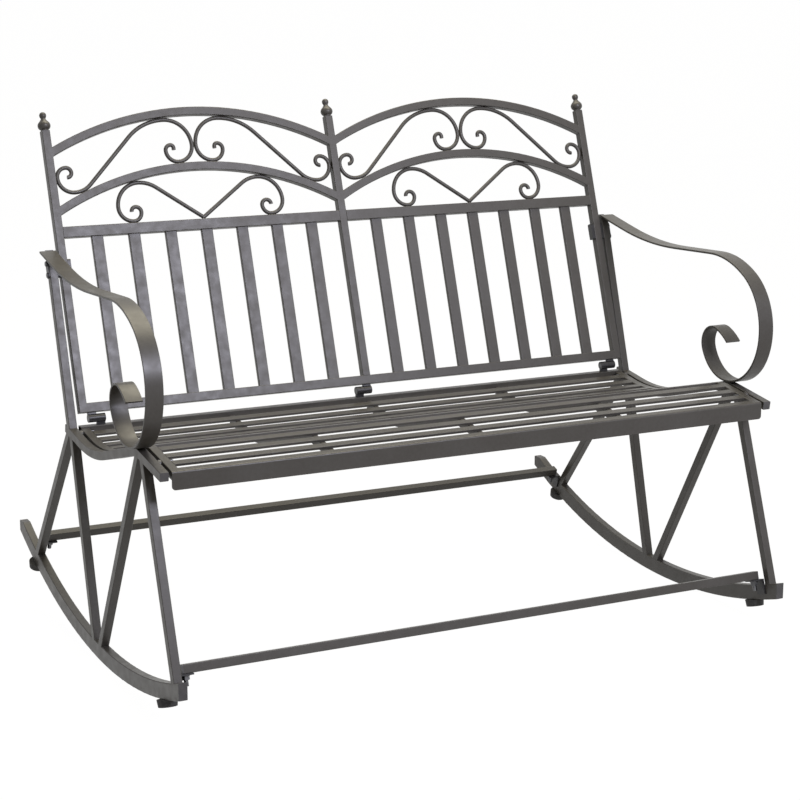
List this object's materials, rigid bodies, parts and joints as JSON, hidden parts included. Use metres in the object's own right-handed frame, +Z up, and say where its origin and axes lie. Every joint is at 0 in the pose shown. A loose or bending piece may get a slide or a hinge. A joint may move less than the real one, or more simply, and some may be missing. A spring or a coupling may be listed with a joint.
{
  "type": "two-seat metal rocking bench",
  "caption": "Two-seat metal rocking bench with a slatted seat, scrolled armrests and a folding scrollwork back, on two curved rockers.",
  "frame": {"origin": "on the floor, in the middle of the footprint, which is the middle of the rockers' length and of the bench's width", "axes": "+X along the bench, to the right of someone who faces its front, +Y from the front of the seat to its back, +Z up"},
  "size_m": [1.278, 0.93, 1.0009],
  "materials": {
    "frame_paint": "satin dark grey powder coat on steel tube and bar",
    "black_paint": "black paint on hinges, brackets and lock plates",
    "fastener_steel": "zinc-plated bolts, nuts and pins",
    "plastic": "moulded plugs and spacers",
    "rubber": "matte black rubber"
  },
  "bodies": {
    "frame": {"arm_post_left": "frame_paint", "arm_post_right": "frame_paint", "armrest_left": "frame_paint", "armrest_right": "frame_paint", "foot_screws": "fastener_steel", "front_brace_left": "frame_paint", "front_brace_right": "frame_paint", "front_leg_left": "frame_paint", "front_leg_right": "frame_paint", "front_stretcher": "frame_paint", "hinge_knuckles_seat": "black_paint", "hinge_pins": "fastener_steel", "lock_bolts": "fastener_steel", "lock_outer_plates": "black_paint", "lock_spacers": "black_paint", "rear_brace_left": "frame_paint", "rear_brace_right": "frame_paint", "rear_leg_left": "frame_paint", "rear_leg_right": "frame_paint", "rear_stretcher": "frame_paint", "rocker_end_caps": "plastic", "rocker_left": "frame_paint", "rocker_right": "frame_paint", "rubber_feet": "rubber", "seat_bolts": "fastener_steel", "seat_front_rail": "frame_paint", "seat_rear_rail": "frame_paint", "seat_side_bar_left": "frame_paint", "seat_side_bar_right": "frame_paint", "seat_slats": "frame_paint", "seat_spacers": "plastic", "seat_support_bars": "frame_paint", "side_rail_caps": "plastic", "side_rail_left": "frame_paint", "side_rail_right": "frame_paint", "stretcher_brackets": "black_paint", "stretcher_caps": "plastic", "stretcher_nuts": "fastener_steel", "stretcher_studs": "fastener_steel", "stretcher_washers": "fastener_steel"},
    "back": {"back_post_right": "frame_paint", "back_post_left": "frame_paint", "back_post_middle": "frame_paint", "back_bottom_rail": "frame_paint", "back_cross_rail_right": "frame_paint", "back_cross_rail_left": "frame_paint", "top_arch_right": "frame_paint", "top_arch_left": "frame_paint", "lower_arch_right": "frame_paint", "lower_arch_left": "frame_paint", "back_slats_right": "frame_paint", "back_slats_left": "frame_paint", "upper_scrolls_right": "frame_paint", "upper_scrolls_left": "frame_paint", "lower_scrolls_right": "frame_paint", "lower_scrolls_left": "frame_paint", "finials": "frame_paint", "hinge_knuckles_back": "black_paint", "lock_nut_plates": "black_paint"}
  },
  "joints": [
    {"name": "back_fold", "type": "hinge", "parent": "frame", "child": "back", "pos_m": [0, 0.10098, 0.43], "axis": [1, 0, 0], "range_deg": [0, 103]}
  ]
}
